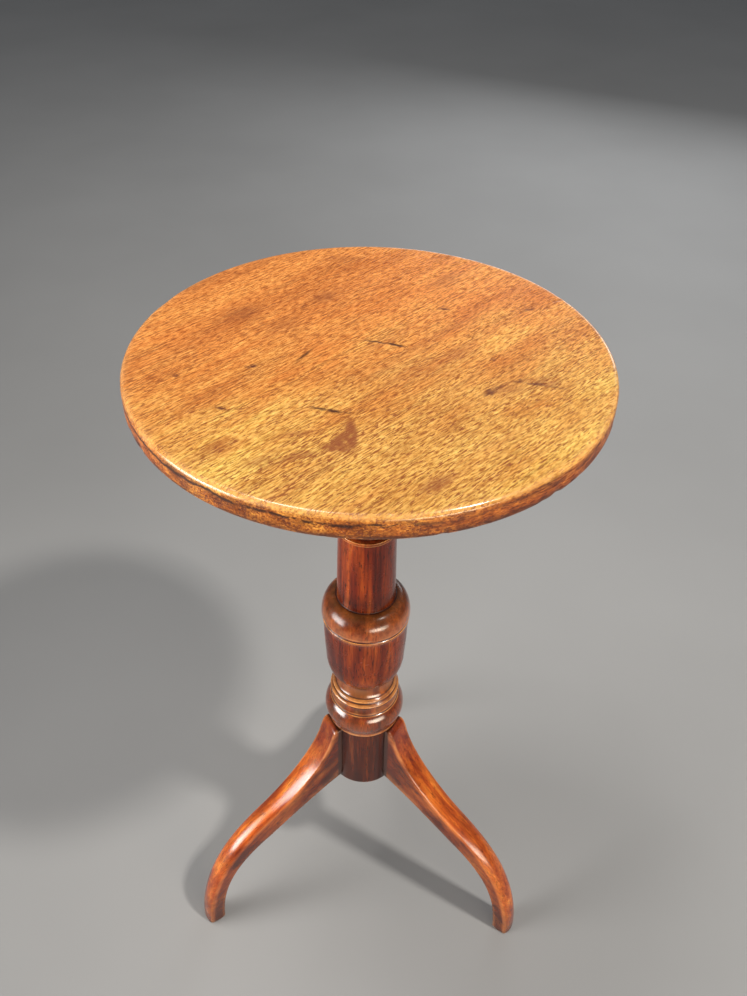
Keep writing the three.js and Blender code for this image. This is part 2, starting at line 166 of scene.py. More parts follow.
def bezier(a, b, c, d, steps):
    """Points along a cubic Bezier curve, without the first."""
    a, b, c, d = map(Vector, (a, b, c, d))
    points = []
    for i in range(1, steps + 1):
        t = i / steps
        s = 1 - t
        points.append(a * s**3 + b * (3 * s * s * t) + c * (3 * s * t * t) + d * t**3)
    return points


def clamped(t):
    return min(1.0, max(0.0, t))


def blended(pair, share):
    return pair[0] + (pair[1] - pair[0]) * share


def near(value, middle, reach):
    """1 at the middle, falling to 0 at reach from it."""
    return max(0.0, 1 - abs(value - middle) / reach)


def eased(t):
    """0 below 0, 1 above 1 and smooth between."""
    t = clamped(t)
    return t * t * (3 - 2 * t)


def resampled(points, count):
    """The polyline again as count points at even steps along it."""
    points = [Vector(p) for p in points]
    lengths = [0.0]
    for p, q in zip(points, points[1:]):
        lengths.append(lengths[-1] + (q - p).length)
    result = []
    k = 0
    for i in range(count):
        want = lengths[-1] * i / (count - 1)
        while k < len(points) - 2 and lengths[k + 1] < want:
            k += 1
        share = (want - lengths[k]) / max(lengths[k + 1] - lengths[k], 1e-9)
        result.append(points[k].lerp(points[k + 1], share))
    return result


MOST_ROUNDED = 0.45  # the share of a side that one rounded corner may take
LEAST_TURN = 25  # a corner that turns less than this stays as it is


def softened(points, radius, steps=4):
    """The outline with each sharp corner rounded to about radius."""
    points = [Vector(p) for p in points]
    result = [points[0]]
    for before, corner, after in zip(points, points[1:], points[2:]):
        come, go = corner - before, after - corner
        if degrees(come.angle(go, 0)) < LEAST_TURN:
            result.append(corner)
            continue
        reach_in = min(radius, come.length * MOST_ROUNDED)
        reach_out = min(radius, go.length * MOST_ROUNDED)
        first = corner - come.normalized() * reach_in
        last = corner + go.normalized() * reach_out
        for i in range(steps + 1):
            t = i / steps
            result.append(first.lerp(corner, t).lerp(corner.lerp(last, t), t))
    result.append(points[-1])
    return result


SHORTEST = 0.05  # keeps the bend finite where two points nearly meet


def bend_of(points, i):
    """How tightly an outline bends, in 1/mm: above 0 on an arris, below 0 in a hollow."""
    if i in (0, len(points) - 1):
        return 0.0
    come, go = points[i] - points[i - 1], points[i + 1] - points[i]
    turn = atan2(come.x * go.y - come.y * go.x, come.dot(go))
    return turn / max((come.length + go.length) / 2, SHORTEST)


# ------------ meshes


def make_mesh(name, points, faces, amounts=None, sharp=CRISP):
    """A mesh in metres from points in millimetres. amounts holds one number a point by name."""
    mesh = bpy.data.meshes.new(name)
    mesh.from_pydata([Vector(p) * MM for p in points], [], faces)
    for key, values in (amounts or {}).items():
        mesh.attributes.new(key, "FLOAT", "POINT").data.foreach_set("value", values)
    finish_mesh(mesh, sharp)
    return mesh


def finish_mesh(mesh, sharp):
    """Smooth shading, with a crisp line wherever two faces meet at more than sharp degrees."""
    mesh.validate()
    mesh.shade_smooth()
    mesh.set_sharp_from_angle(angle=radians(sharp))
    mesh.update()


def turned(outline, angles):
    """Points, faces and each point's outline index for a solid turned about z.

    The outline runs from its foot on the axis to its head on the axis; angles are in radians."""
    points, index = [(0, 0, outline[0][1])], [0]
    count = len(angles)
    for k, (radius, z) in enumerate(outline[1:-1], 1):
        for angle in angles:
            points.append((radius * cos(angle), radius * sin(angle), z))
            index.append(k)
    points.append((0, 0, outline[-1][1]))
    index.append(len(outline) - 1)
    faces = []
    rings = len(outline) - 2
    for j in range(count):
        after = (j + 1) % count
        faces.append((0, 1 + after, 1 + j))
        for k in range(rings - 1):
            low, high = 1 + k * count, 1 + (k + 1) * count
            faces.append((low + j, low + after, high + after, high + j))
        last = 1 + (rings - 1) * count
        faces.append((last + j, last + after, len(points) - 1))
    return points, faces, index


def around(sides):
    return [2 * pi * i / sides for i in range(sides)]


WEAR_AND_HIGHLIGHT_PER_BEND = 1.6
DIRT_PER_BEND = 1.2


def turned_mesh(name, outline, sides):
    """A turned piece that remembers where its outline bends out, for wear and painted highlight,
    and where it bends in, where dirt gathers.
    """
    outline = [Vector(p) for p in outline]
    points, faces, index = turned(outline, around(sides))
    bends = [bend_of(outline, k) for k in range(len(outline))]
    wear_and_highlight = [clamped(bends[k] * WEAR_AND_HIGHLIGHT_PER_BEND) for k in index]
    dirt = [clamped(-bends[k] * DIRT_PER_BEND) for k in index]
    return make_mesh(name, points, faces, {"wear_and_highlight": wear_and_highlight, "dirt": dirt})


def skin(count, rings):
    """Faces that join rings of count points one to the next, with both ends closed."""
    last = (rings - 1) * count
    faces = [tuple(range(count)), tuple(reversed(range(last, last + count)))]
    for a in range(0, last, count):
        for i in range(count):
            j = (i + 1) % count
            faces.append((a + j, a + i, a + count + i, a + count + j))
    return faces


def prism(name, outline, z0, z1):
    """A closed block over an outline of (x, y) points that runs anticlockwise."""
    points = [(x, y, z) for z in (z1, z0) for x, y in outline]
    return make_mesh(name, points, skin(len(outline), 2))


def cylinder(name, radius, z0, z1, sides):
    points, faces, _ = turned([(0, z0), (radius, z0), (radius, z1), (0, z1)], around(sides))
    return make_mesh(name, points, faces)


def put(name, data, place):
    piece = bpy.data.objects.new(name, data)
    bpy.context.scene.collection.objects.link(piece)
    piece.matrix_world = place
    return piece


def combine(mesh, tools, operation, sharp=CRISP):
    """The mesh with each tool, a (mesh, matrix) pair, cut away from it or joined to it."""
    piece = put("work", mesh, Matrix.Identity(4))
    helpers = []
    for shape, place in tools:
        helper = put("tool", shape, place)
        modifier = piece.modifiers.new("combine", "BOOLEAN")
        modifier.operation = operation
        modifier.object = helper
        modifier.solver = "EXACT"
        helpers.append(helper)
    bpy.context.view_layer.update()
    evaluated = piece.evaluated_get(bpy.context.evaluated_depsgraph_get())
    result = bpy.data.meshes.new_from_object(evaluated)
    result.name = mesh.name
    for helper in [piece, *helpers]:
        bpy.data.objects.remove(helper)
    finish_mesh(result, sharp)
    return result


def at(x=0, y=0, z=0, turn=0):
    """A place in millimetres, turned about z by degrees, as a matrix in metres."""
    return Matrix.Translation(Vector((x, y, z)) * MM) @ Matrix.Rotation(radians(turn), 4, "Z")


def finished(node, mesh, place, material):
    """Puts a fine piece where its CAD node is, on the node's body, and hides the node."""
    piece = put(node + "_finished", mesh, place)
    piece.data.materials.append(material)
    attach(piece, frame["nodes"][node]["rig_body"])
    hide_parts(node)
    return piece


# ------------ material nodes


class Recipe:
    """Wires one material. Most methods add a node and return its output socket."""

    def __init__(self, name):
        self.material = bpy.data.materials.new(name)
        self.material.use_nodes = True
        self.tree = self.material.node_tree
        self.tree.nodes.clear()
        self.shader = self.tree.nodes.new("ShaderNodeBsdfPrincipled")
        self.add("OutputMaterial", {"Surface": self.shader.outputs[0]}, None)
        self.place = self.add("TexCoord", {}, "Object")

    def add(self, kind, inputs, output=0, **settings):
        """A node with its settings made and its inputs fed."""
        node = self.tree.nodes.new("ShaderNode" + kind)
        for key, value in settings.items():
            setattr(node, key, value)
        for key, value in inputs.items():
            self.feed(node.inputs[key], value)
        return None if output is None else node.outputs[output]

    def feed(self, socket, value):
        if isinstance(value, bpy.types.NodeSocket):
            self.tree.links.new(value, socket)
        else:
            socket.default_value = value

    def surface(self, **values):
        """The material, with its colour and the values fed to the shader."""
        self.feed(self.shader.inputs["Base Color"], self.colour)
        for key, value in values.items():
            self.feed(self.shader.inputs[SOCKETS[key]], value)
        return self.material

    def math(self, operation, a, b=0.0, clamp=False):
        return self.add("Math", {0: a, 1: b}, operation=operation, use_clamp=clamp)

    def times(self, a, b):
        return self.math("MULTIPLY", a, b)

    def plus(self, a, b, clamp=False):
        return self.math("ADD", a, b, clamp)

    def minus(self, a, b, clamp=False):
        return self.math("SUBTRACT", a, b, clamp)

    def mapped(self, vector, scale=(1, 1, 1), turn=0, tip=0, move=(0, 0, 0), kind="POINT"):
        """The vector scaled, tipped about y and turned about z, or for TEXTURE the reverse."""
        rotation = (0, radians(tip), radians(turn))
        inputs = {"Vector": vector, "Location": move, "Rotation": rotation, "Scale": scale}
        return self.add("Mapping", inputs, vector_type=kind)

    def vector(self, operation, a, b):
        output = "Value" if operation == "LENGTH" else "Vector"
        return self.add("VectorMath", {0: a, 1: b}, output, operation=operation)

    def noise(self, place, scale, detail, roughness=0.5):
        """Noise at a place; scale says how fine it is along x, y and z, or all three."""
        vector = self.mapped(place, (scale,) * 3 if isinstance(scale, int) else scale)
        inputs = {"Vector": vector, "Scale": 1.0, "Detail": detail, "Roughness": roughness}
        return self.add("TexNoise", inputs, "Fac")

    def step(self, value, low, high, to_low=0.0, to_high=1.0):
        """A smooth step from to_low where value is low to to_high where it is high."""
        inputs = {0: value, 1: low, 2: high, 3: to_low, 4: to_high}
        return self.add("MapRange", inputs, interpolation_type="SMOOTHSTEP")

    def between(self, value, rise, fall):
        """0 outside two smooth steps, given in millimetres, and 1 between them."""
        up = self.step(value, rise[0] * MM, rise[1] * MM)
        return self.times(up, self.step(value, fall[0] * MM, fall[1] * MM, 1.0, 0.0))

    def mix(self, factor, a, b, blend="MIX"):
        inputs = {0: factor, 6: opaque(a), 7: opaque(b)}
        return self.add("Mix", inputs, 2, data_type="RGBA", blend_type=blend)

    def cover(self, factor, colour):
        """Lays a colour over the material's own, as far as factor says."""
        self.colour = self.mix(factor, self.colour, colour)

    def tint(self, factor, by):
        """Multiplies the material's colour by another, as far as factor says."""
        self.colour = self.mix(factor, self.colour, by, "MULTIPLY")

    def tone(self, factor, value, *stops):
        """Tints by the ramp of a value."""
        self.tint(factor, self.ramp(value, *stops))

    def ramp(self, value, *stops):
        """A colour from (place, colour) stops."""
        output = self.add("ValToRGB", {0: value})
        elements = output.node.color_ramp.elements
        while len(elements) < len(stops):
            elements.new(0.5)
        for element, (where, colour) in zip(elements, stops):
            element.position = where
            element.color = opaque(colour)
        return output

    def split(self, vector):
        return self.add("SeparateXYZ", {0: vector}).node.outputs

    def nudged(self, place, noise, amount):
        """The place, moved along y by amount millimetres times a noise less a half."""
        move = self.add("CombineXYZ", {"Y": self.times(self.minus(noise, 0.5), amount * MM)})
        return self.vector("ADD", place, move)

    def wandering(self, place, amount, scale):
        """The place, nudged across the grain slowly, so that no fibre is quite straight."""
        return self.nudged(place, self.noise(place, scale, 2), amount)

    def patchy(self, amount, value, *limits):
        """The amount times a smooth step of a value."""
        return self.times(amount, self.step(value, *limits))

    def amount(self, name):
        """A number that the mesh holds at each point."""
        return self.add("Attribute", {}, "Fac", attribute_name=name)

    def bump(self, height, distance, strength, below=None):
        inputs = {"Strength": strength, "Distance": distance * MM, "Height": height}
        if below is not None:
            inputs["Normal"] = below
        return self.add("Bump", inputs)


SOCKETS = {
    "roughness": "Roughness", "metallic": "Metallic", "normal": "Normal", "coat": "Coat Weight",
    "coat_roughness": "Coat Roughness", "specular": "Specular IOR Level",
}


def opaque(colour):
    """A colour with its alpha. A number alone is a grey, and a socket stays as it is."""
    if isinstance(colour, bpy.types.NodeSocket):
        return colour
    if isinstance(colour, (int, float)):
        return (colour, colour, colour, 1.0)
    return (*colour, 1.0)


# ------------ materials

TOP_GRAIN = 47  # from +x, in plan
LEG_SLOPE = 41  # the grain runs down and out through the leg
LINE_HEIGHT = 14.5  # of the dark line round the edge of the top, above the underside
LINE_SWAY = 12

BLOCK_FIGURE = (
    (0.25, (0.06, 0.015, 0.007)),
    (0.5, (0.115, 0.028, 0.012)),
    (0.75, (0.18, 0.045, 0.018)),
)
COLUMN_FIGURE = (
    (0.3, (0.055, 0.005, 0.002)),
    (0.44, (0.125, 0.013, 0.003)),
    (0.57, (0.235, 0.034, 0.005)),
    (0.72, (0.47, 0.105, 0.014)),
)
SHEEN_BANDS = (  # band, how patchy it is as a step of the smear noise, and the colour of the painted sheen there
    (RINGS_SHEEN, (0.35, 0.6, 0.1, 0.5), (0.38, 0.135, 0.035)),
    (SHOULDER, (0.35, 0.6, 0.05, 0.38), (0.52, 0.17, 0.05)),
    (LIP, (0.35, 0.6, 0.2, 0.75), (0.6, 0.24, 0.075)),
)

# Marks on the top: x and y from its centre, half length, half width, direction, how strongly it is
# coloured and how soft its edge is
MARK_DEPTH = 6  # how far a mark reaches below the surface
SCRATCHES = (
    (4, 18.5, 11, 1.5, -10, 0.9, 0.7), (19, 15, 10, 2.0, -17, 1.0, 0.7),
    (-17, 20, 14, 1.1, -2, 0.4, 0.9), (-33, -73.5, 9, 2.3, -9, 0.9, 0.8),
    (-23, -76, 7, 2.6, -16, 1.0, 0.7), (-14, -77, 6, 1.2, -8, 0.6, 0.9),
    (-50, -4, 14, 2.0, 60, 0.9, 0.9), (28, -40, 9, 1.4, 45, 0.5, 0.9),
)
SPOTS = (
    (-88, -22, 5.5, 3.0, 20, 0.95, 0.7), (-102, -77, 5.5, 2.6, -25, 0.9, 0.7),
    (-141, -38, 3.0, 2.2, 0, 0.8, 0.8), (58, 73, 7.0, 2.4, -15, 0.85, 0.8),
    (128, 76, 6.0, 2.2, 25, 0.8, 0.8), (88, -47, 7.5, 4.2, 50, 0.85, 0.8),
    (95, -40, 7.0, 2.6, 42, 0.7, 0.9), (122, -34, 10.0, 2.8, -8, 0.85, 0.8),
    (138, -38, 8.0, 2.0, -12, 0.6, 0.9), (110, -31, 7.0, 2.6, 20, 0.7, 0.9),
    (-13, -143, 3.0, 1.5, 30, 0.6, 0.8), (93, -2, 3.0, 1.8, 0, 0.6, 0.8),
    (-57, 70, 4.0, 2.0, 42, 0.5, 0.8), (30, 60, 4.0, 1.8, 42, 0.4, 0.8),
)
STAINS = (
    (-10, -102, 21, 5.5, 95, 0.95, 0.5), (-16, -108, 16, 6, 60, 0.95, 0.5),
    (-18, -117, 13, 6.5, 0, 0.9, 0.5), (-47, -104, 19, 4, 12, 0.6, 0.9),
    (-42, -128, 16, 5, 22, 0.65, 0.8), (47, -153, 18, 8, 42, 0.75, 0.8),
    (-97, -120, 15, 10, 42, 0.5, 0.9), (-68, -136, 14, 7, 20, 0.5, 0.9),
    (-40, 87, 14, 11, 42, 0.55, 0.9), (-107, 57, 24, 13, 42, 0.6, 0.9),
    (-70, 40, 20, 10, 42, 0.35, 0.9), (70, 5, 24, 12, 42, 0.4, 0.9),
    (100, -42, 18, 9, 10, 0.45, 0.9), (130, -32, 16, 8, -8, 0.5, 0.9),
    (-28, 158, 26, 8, 0, 0.4, 0.9), (30, -20, 40, 18, 42, 0.25, 0.9),
    (62, 125, 26, 11, 42, 0.4, 0.9),
)


def marks(mat, place, rows):
    """How strongly any of the marks shows at a place on the top."""
    total = 0.0
    for x, y, length, width, turn, depth, softness in rows:
        mark = mat.mapped(
            place, scale=(length * MM, width * MM, MARK_DEPTH * MM), turn=turn,
            move=(x * MM, y * MM, TOP_HEIGHT * MM), kind="TEXTURE",
        )
        distance = mat.vector("LENGTH", mark, (0, 0, 0))
        shown = mat.step(distance, 1 - softness, 1 + softness * 0.3, depth, 0.0)
        total = mat.math("MAXIMUM", total, shown)
    return total


def top_wood():
    """Waxed open-grained wood: golden, with dark pores, old stains and a dirty lower edge."""
    mat = Recipe("top_wood")
    place = mat.place
    along = mat.wandering(mat.mapped(place, turn=-TOP_GRAIN), 5, (4, 14, 14))
    figure = mat.noise(along, (5, 55, 55), 3, 0.6)
    fibre = mat.noise(along, (140, 640, 640), 3, 0.65)
    cloud = mat.noise(along, (14, 30, 30), 3, 0.6)

    # towards the front right the wood is paler and yellower, partly its own tone and partly a
    # painted sheen of light
    x, y, z = mat.split(place)
    lean = mat.minus(mat.times(x, 0.45), y)
    lean = mat.plus(lean, mat.times(mat.minus(cloud, 0.5), 0.25))
    pale_sheen = mat.step(lean, -0.09, 0.15)
    warm = mat.ramp(
        figure, (0.3, (0.62, 0.205, 0.042)), (0.55, (0.8, 0.295, 0.062)),
        (0.75, (0.86, 0.36, 0.08)),
    )
    gold = mat.ramp(
        figure, (0.3, (0.62, 0.28, 0.062)), (0.55, (0.76, 0.425, 0.098)),
        (0.75, (0.82, 0.54, 0.115)),
    )
    mat.colour = mat.mix(pale_sheen, warm, gold)
    fibres = mat.ramp(
        fibre, (0.33, (0.4, 0.22, 0.09)), (0.46, (0.84, 0.74, 0.6)),
        (0.57, (1.16, 1.18, 1.22)), (0.72, (1.3, 1.48, 1.76)),
    )
    mat.tint(0.9, fibres)
    lines = mat.noise(along, (20, 560, 560), 2)
    mat.tone(0.8, lines, (0.36, 0.74), (0.5, 1.0), (0.64, 1.14))
    mat.tone(0.7, cloud, (0.32, (0.76, 0.62, 0.55)), (0.55, 1.0))

    # open pores: short dark dashes, thicker in bands
    dashes = mat.noise(along, (150, 860, 860), 2)
    bands = mat.noise(along, (5, 110, 110), 2)
    edge = mat.step(bands, 0.35, 0.65, 0.62, 0.52)
    pores = mat.step(dashes, edge, mat.plus(edge, 0.06))
    pore_depth = mat.patchy(pores, lean, -0.15, 0.12, 0.6, 0.92)
    mat.cover(pore_depth, (0.26, 0.065, 0.006))

    # marks, with ragged edges
    ragged = mat.noise(place, 260, 3, 0.6)
    rough_place = mat.nudged(place, ragged, 10)
    stained = marks(mat, rough_place, STAINS)
    stained = mat.patchy(stained, ragged, 0.3, 0.5, 0.5, 0.95)
    mat.cover(stained, (0.26, 0.062, 0.012))
    spotted = marks(mat, rough_place, SPOTS)
    mat.cover(spotted, (0.11, 0.02, 0.008))
    scratched = marks(mat, mat.nudged(place, ragged, 5), SCRATCHES)
    mat.cover(scratched, (0.085, 0.024, 0.006))

    # the edge: redder and blotchier than the face, with a dark broken line round it
    smear = mat.noise(place, (70, 70, 200), 4, 0.65)
    blotch = mat.noise(place, (45, 45, 120), 5, 0.7)
    edge_tint = mat.ramp(
        blotch, (0.36, (0.26, 0.12, 0.07)), (0.5, (0.62, 0.4, 0.27)),
        (0.62, (1.0, 0.76, 0.52)),
    )
    rim = mat.amount("rim")
    mat.tint(rim, mat.mix(mat.step(x, -0.02, 0.09), edge_tint, (0.78, 0.62, 0.55), "MULTIPLY"))
    sway = mat.noise(place, (30, 30, 0), 4, 0.6)
    off_line = mat.minus(z, (TOP_UNDERSIDE + LINE_HEIGHT) * MM)
    off_line = mat.plus(off_line, mat.times(mat.minus(sway, 0.5), LINE_SWAY * MM))
    line = mat.step(mat.math("ABSOLUTE", off_line), 0.4 * MM, 2 * MM, 0.95, 0.0)
    line = mat.patchy(line, smear, 0.4, 0.5)
    line = mat.patchy(line, x, 0.01, 0.07, 1.0, 0.3)
    line = mat.patchy(line, rim, 0.2, 0.5)
    mat.cover(line, (0.035, 0.009, 0.004))
    grime = mat.patchy(mat.amount("dirt"), smear, 0.4, 0.54)
    mat.cover(grime, (0.07, 0.016, 0.006))
    # the upper arris painted pale: partly worn wood, partly a painted highlight
    arris = mat.amount("wear_and_highlight")
    wear_and_highlight = mat.patchy(arris, smear, 0.3, 0.6, 0.1, 0.7)
    mat.cover(wear_and_highlight, (0.84, 0.44, 0.15))

    # bare wood underneath
    bare = mat.step(z, (TOP_UNDERSIDE + 0.4) * MM, (TOP_UNDERSIDE + 2.5) * MM, 1.0, 0.0)
    dry = mat.ramp(figure, (0.3, (0.17, 0.085, 0.04)), (0.7, (0.3, 0.165, 0.085)))
    dry = mat.mix(0.9, dry, fibres, "MULTIPLY")
    dry = mat.mix(mat.times(pores, 0.7), dry, (0.06, 0.03, 0.015))
    mat.cover(bare, dry)

    gloss = mat.step(cloud, 0.3, 0.7, 0.3, 0.42)
    gloss = mat.plus(gloss, mat.times(stained, 0.12))
    gloss = mat.plus(gloss, mat.times(pores, 0.25))
    gloss = mat.minus(gloss, mat.times(arris, 0.2))
    raised = mat.minus(mat.times(fibre, 0.35), pores)
    raised = mat.minus(raised, scratched)
    raised = mat.minus(raised, mat.times(mat.math("MAXIMUM", grime, line), 1.2))
    return mat.surface(
        roughness=mat.plus(gloss, mat.times(bare, 0.35), clamp=True), specular=0.45,
        coat=mat.times(arris, 0.8), coat_roughness=0.14, normal=mat.bump(raised, 0.1, 0.6),
    )


def leg_joints(mat):
    """Dark lines on the base block, beside each leg."""
    lines = 0.0
    for azimuth in LEG_AZIMUTHS.values():
        out, aside, _ = mat.split(mat.mapped(mat.place, turn=-azimuth))
        aside = mat.math("ABSOLUTE", aside)
        line = mat.step(aside, LEG_HALF * MM, (LEG_HALF + 2.5) * MM, 1.0, 0.0)
        line = mat.patchy(line, out, 0.0, 10 * MM)
        lines = mat.math("MAXIMUM", lines, line)
    return lines


def column_wood(name="column_wood", plain=False):
    """Polished dark red-brown wood with its grain along z. The plain one is duller and browner."""
    mat = Recipe(name)
    place = mat.place
    figure = mat.noise(place, (85, 85, 7), 4, 0.6)
    streaks = mat.noise(place, (520, 520, 18), 3, 0.6)
    flecks = mat.noise(place, (900, 900, 110), 1.5)
    smear = mat.noise(place, 55, 4, 0.65)
    mat.colour = mat.ramp(figure, *(BLOCK_FIGURE if plain else COLUMN_FIGURE))
    mat.tone(0.8, streaks, (0.28, 0.45), (0.5, 1.0), (0.75, 1.5))
    pores = mat.step(flecks, 0.6, 0.68)
    mat.cover(mat.times(pores, 0.75), (0.018, 0.005, 0.003))
    coat, bright = 0.0, 0.0
    gloss = mat.step(smear, 0.3, 0.7, 0.34, 0.5)
    if not plain:  # the base block is painted darker and browner than the turning above it, partly as shade under the collar, partly as plainer wood
        height = mat.split(place)[2]
        based = mat.step(height, (BASE_TOP - 1) * MM, (BASE_TOP + 1) * MM, 0.85, 0.0)
        mat.tint(based, (0.34, 0.4, 0.6))
        joints = mat.times(leg_joints(mat), based)
        mat.cover(joints, (0.016, 0.005, 0.003))
        low = mat.step(height, CROWN[0][0] * MM, CROWN[0][1] * MM, 1.0, 0.0)
        mat.tint(low, (0.76, 0.74, 0.74))
        # pale bands painted on as sheen, highlight and reflection
        for band, patches, pale_sheen in SHEEN_BANDS:
            painted_sheen = mat.patchy(mat.between(height, *band), smear, *patches)
            mat.cover(painted_sheen, pale_sheen)
        # the dome round the neck is painted darker as shade
        crown = mat.between(height, *CROWN)
        crown = mat.patchy(crown, smear, 0.3, 0.6, 0.8, 0.48)
        mat.tint(crown, (0.3, 0.34, 0.5))
        # the dome, rings and collar shine most, the base block least
        bright = mat.minus(low, mat.between(height, *URN), clamp=True)
        coat = mat.plus(mat.times(bright, 0.85), 0.15)
        coat = mat.minus(coat, based, clamp=True)
        gloss = mat.step(smear, 0.3, 0.7, 0.2, 0.29)
        gloss = mat.minus(gloss, mat.times(bright, 0.05))
    dirt = mat.patchy(mat.amount("dirt"), smear, 0.25, 0.55, 0.5, 0.95)
    mat.cover(dirt, (0.025, 0.008, 0.004))
    # convex edges painted gold: partly worn polish, partly a painted highlight
    wear_and_highlight = mat.patchy(mat.amount("wear_and_highlight"), smear, 0.32, 0.6, 0.35, 0.95)
    mat.cover(wear_and_highlight, (0.7, 0.3, 0.085))
    polish = mat.bump(mat.noise(place, (110, 110, 60), 1), 0.1, 0.5)
    raised = mat.minus(mat.times(streaks, 0.5), pores)
    return mat.surface(
        roughness=mat.plus(gloss, mat.times(dirt, 0.3), clamp=True), specular=0.28, coat=coat,
        coat_roughness=0.15, normal=mat.bump(raised, 0.05, 0.5, polish),
    )


def leg_wood(name, seed):
    """Polished orange-brown wood with its grain straight along the leg and darker patches."""
    mat = Recipe(name)
    move = (0.31 * seed, 0.17 * seed, 0.07 * seed)  # so that no two legs have the same figure
    place = mat.mapped(mat.place, tip=-LEG_SLOPE, move=move)
    place = mat.wandering(place, 4, (6, 40, 40))
    figure = mat.noise(place, (13, 95, 95), 4, 0.62)
    fibre = mat.noise(place, (45, 560, 560), 3)
    patches = mat.noise(place, (24, 38, 38), 4, 0.65)
    dashes = mat.noise(place, (150, 1000, 1000), 1.5)
    mat.colour = mat.ramp(
        figure, (0.3, (0.24, 0.03, 0.005)), (0.44, (0.46, 0.08, 0.009)),
        (0.57, (0.65, 0.15, 0.017)), (0.72, (0.82, 0.28, 0.04)),
    )
    mat.tone(0.75, fibre, (0.28, 0.6), (0.52, 1.0), (0.75, 1.25))
    mat.tone(0.75, patches, (0.34, (0.42, 0.3, 0.25)), (0.55, 1.0))
    pores = mat.step(dashes, 0.6, 0.68)
    mat.cover(mat.times(pores, 0.65), (0.05, 0.012, 0.005))
    # the flanks painted darker as shade
    flank_shade = mat.patchy(mat.amount("flank_shade"), patches, 0.3, 0.65, 0.95, 0.7)
    mat.tint(flank_shade, (0.27, 0.2, 0.22))
    out, _, height = mat.split(mat.place)
    near_floor = mat.step(height, 0.0, FEET_DARKER_BELOW * MM, 0.85, 0.0)
    mat.tint(near_floor, (0.36, 0.27, 0.28))
    # darker by the column, painted as shade under the collar
    mat.tint(mat.amount("root"), (0.45, 0.3, 0.3))
    dirt = mat.patchy(mat.amount("dirt"), patches, 0.3, 0.6, 0.6, 0.9)
    mat.cover(dirt, (0.055, 0.018, 0.01))
    # the arrises painted pale: partly worn wood, partly a painted highlight
    wear_and_highlight = mat.patchy(mat.amount("wear_and_highlight"), patches, 0.35, 0.6, 0.15, 0.7)
    mat.cover(wear_and_highlight, (0.66, 0.26, 0.085))
    joint = mat.step(out, (BASE_RADIUS + 0.5) * MM, (BASE_RADIUS + 3.5) * MM, 0.9, 0.0)
    mat.cover(joint, (0.03, 0.009, 0.005))
    gloss = mat.step(patches, 0.3, 0.7, 0.26, 0.18)
    polish = mat.bump(mat.noise(place, (40, 90, 90), 1), 0.12, 0.5)
    raised = mat.minus(mat.times(fibre, 0.5), pores)
    return mat.surface(
        roughness=mat.plus(gloss, mat.times(dirt, 0.35), clamp=True), specular=0.45, coat=0.3,
        coat_roughness=0.1, normal=mat.bump(raised, 0.05, 0.5, polish),
    )


def under_wood():
    """Dry, planed wood that was never polished, its grain along the bearers."""
    mat = Recipe("under_wood")
    place = mat.mapped(mat.place, turn=-TILT_AZIMUTH)
    place = mat.wandering(place, 4, (5, 30, 30))
    figure = mat.noise(place, (7, 90, 90), 4, 0.6)
    fibre = mat.noise(place, (30, 650, 650), 3)
    smear = mat.noise(place, (18, 45, 45), 4, 0.65)
    mat.colour = mat.ramp(
        figure, (0.28, (0.115, 0.055, 0.026)), (0.5, (0.2, 0.105, 0.052)),
        (0.75, (0.3, 0.17, 0.09)),
    )
    mat.tone(0.85, fibre, (0.28, 0.6), (0.52, 1.0), (0.75, 1.2))
    smeared = mat.step(smear, 0.35, 0.6, 0.5, 0.0)
    mat.cover(smeared, (0.05, 0.028, 0.018))
    return mat.surface(
        roughness=mat.step(smear, 0.3, 0.7, 0.78, 0.6), specular=0.3,
        normal=mat.bump(mat.plus(fibre, mat.times(figure, 1.5)), 0.15, 0.7),
    )


def brass():
    """Old brass, bright where it is handled and brown where it isn't."""
    mat = Recipe("brass")
    tarnish = mat.noise(mat.place, 160, 5, 0.65)
    scratches = mat.noise(mat.place, (3000, 300, 1200), 2)
    mat.colour = mat.ramp(
        tarnish, (0.32, (0.16, 0.085, 0.03)), (0.48, (0.42, 0.27, 0.1)),
        (0.65, (0.66, 0.47, 0.19)),
    )
    scratched = mat.step(scratches, 0.6, 0.75, 0.0, 0.35)
    mat.cover(scratched, (0.8, 0.62, 0.3))
    return mat.surface(
        metallic=1.0, roughness=mat.step(tarnish, 0.35, 0.65, 0.55, 0.28),
        normal=mat.bump(mat.plus(tarnish, mat.times(scratches, 0.3)), 0.06, 0.6),
    )


def iron():
    """Dark forged iron, with hammer marks, scale and a little rust."""
    mat = Recipe("iron")
    hammer = mat.noise(mat.place, 130, 1)
    scale = mat.noise(mat.place, 700, 5, 0.7)
    rust = mat.step(mat.noise(mat.place, 90, 5, 0.7), 0.52, 0.66)
    mat.colour = mat.ramp(scale, (0.35, (0.035, 0.032, 0.03)), (0.65, (0.1, 0.094, 0.088)))
    mat.cover(mat.times(rust, 0.7), (0.11, 0.04, 0.015))
    raised = mat.plus(mat.times(hammer, 2.0), mat.times(scale, 0.4))
    return mat.surface(
        metallic=mat.step(rust, 0.0, 1.0, 0.9, 0.2),
        roughness=mat.step(scale, 0.35, 0.65, 0.62, 0.42), normal=mat.bump(raised, 0.12, 0.7),
    )


def spring_steel():
    """Drawn wire with fine marks along it."""
    mat = Recipe("spring_steel")
    lines = mat.noise(mat.place, (900, 2600, 2600), 3)
    mat.colour = mat.ramp(lines, (0.35, (0.19, 0.18, 0.17)), (0.65, (0.42, 0.42, 0.43)))
    return mat.surface(
        metallic=1.0, roughness=mat.step(lines, 0.35, 0.65, 0.42, 0.25),
        normal=mat.bump(lines, 0.02, 0.5),
    )


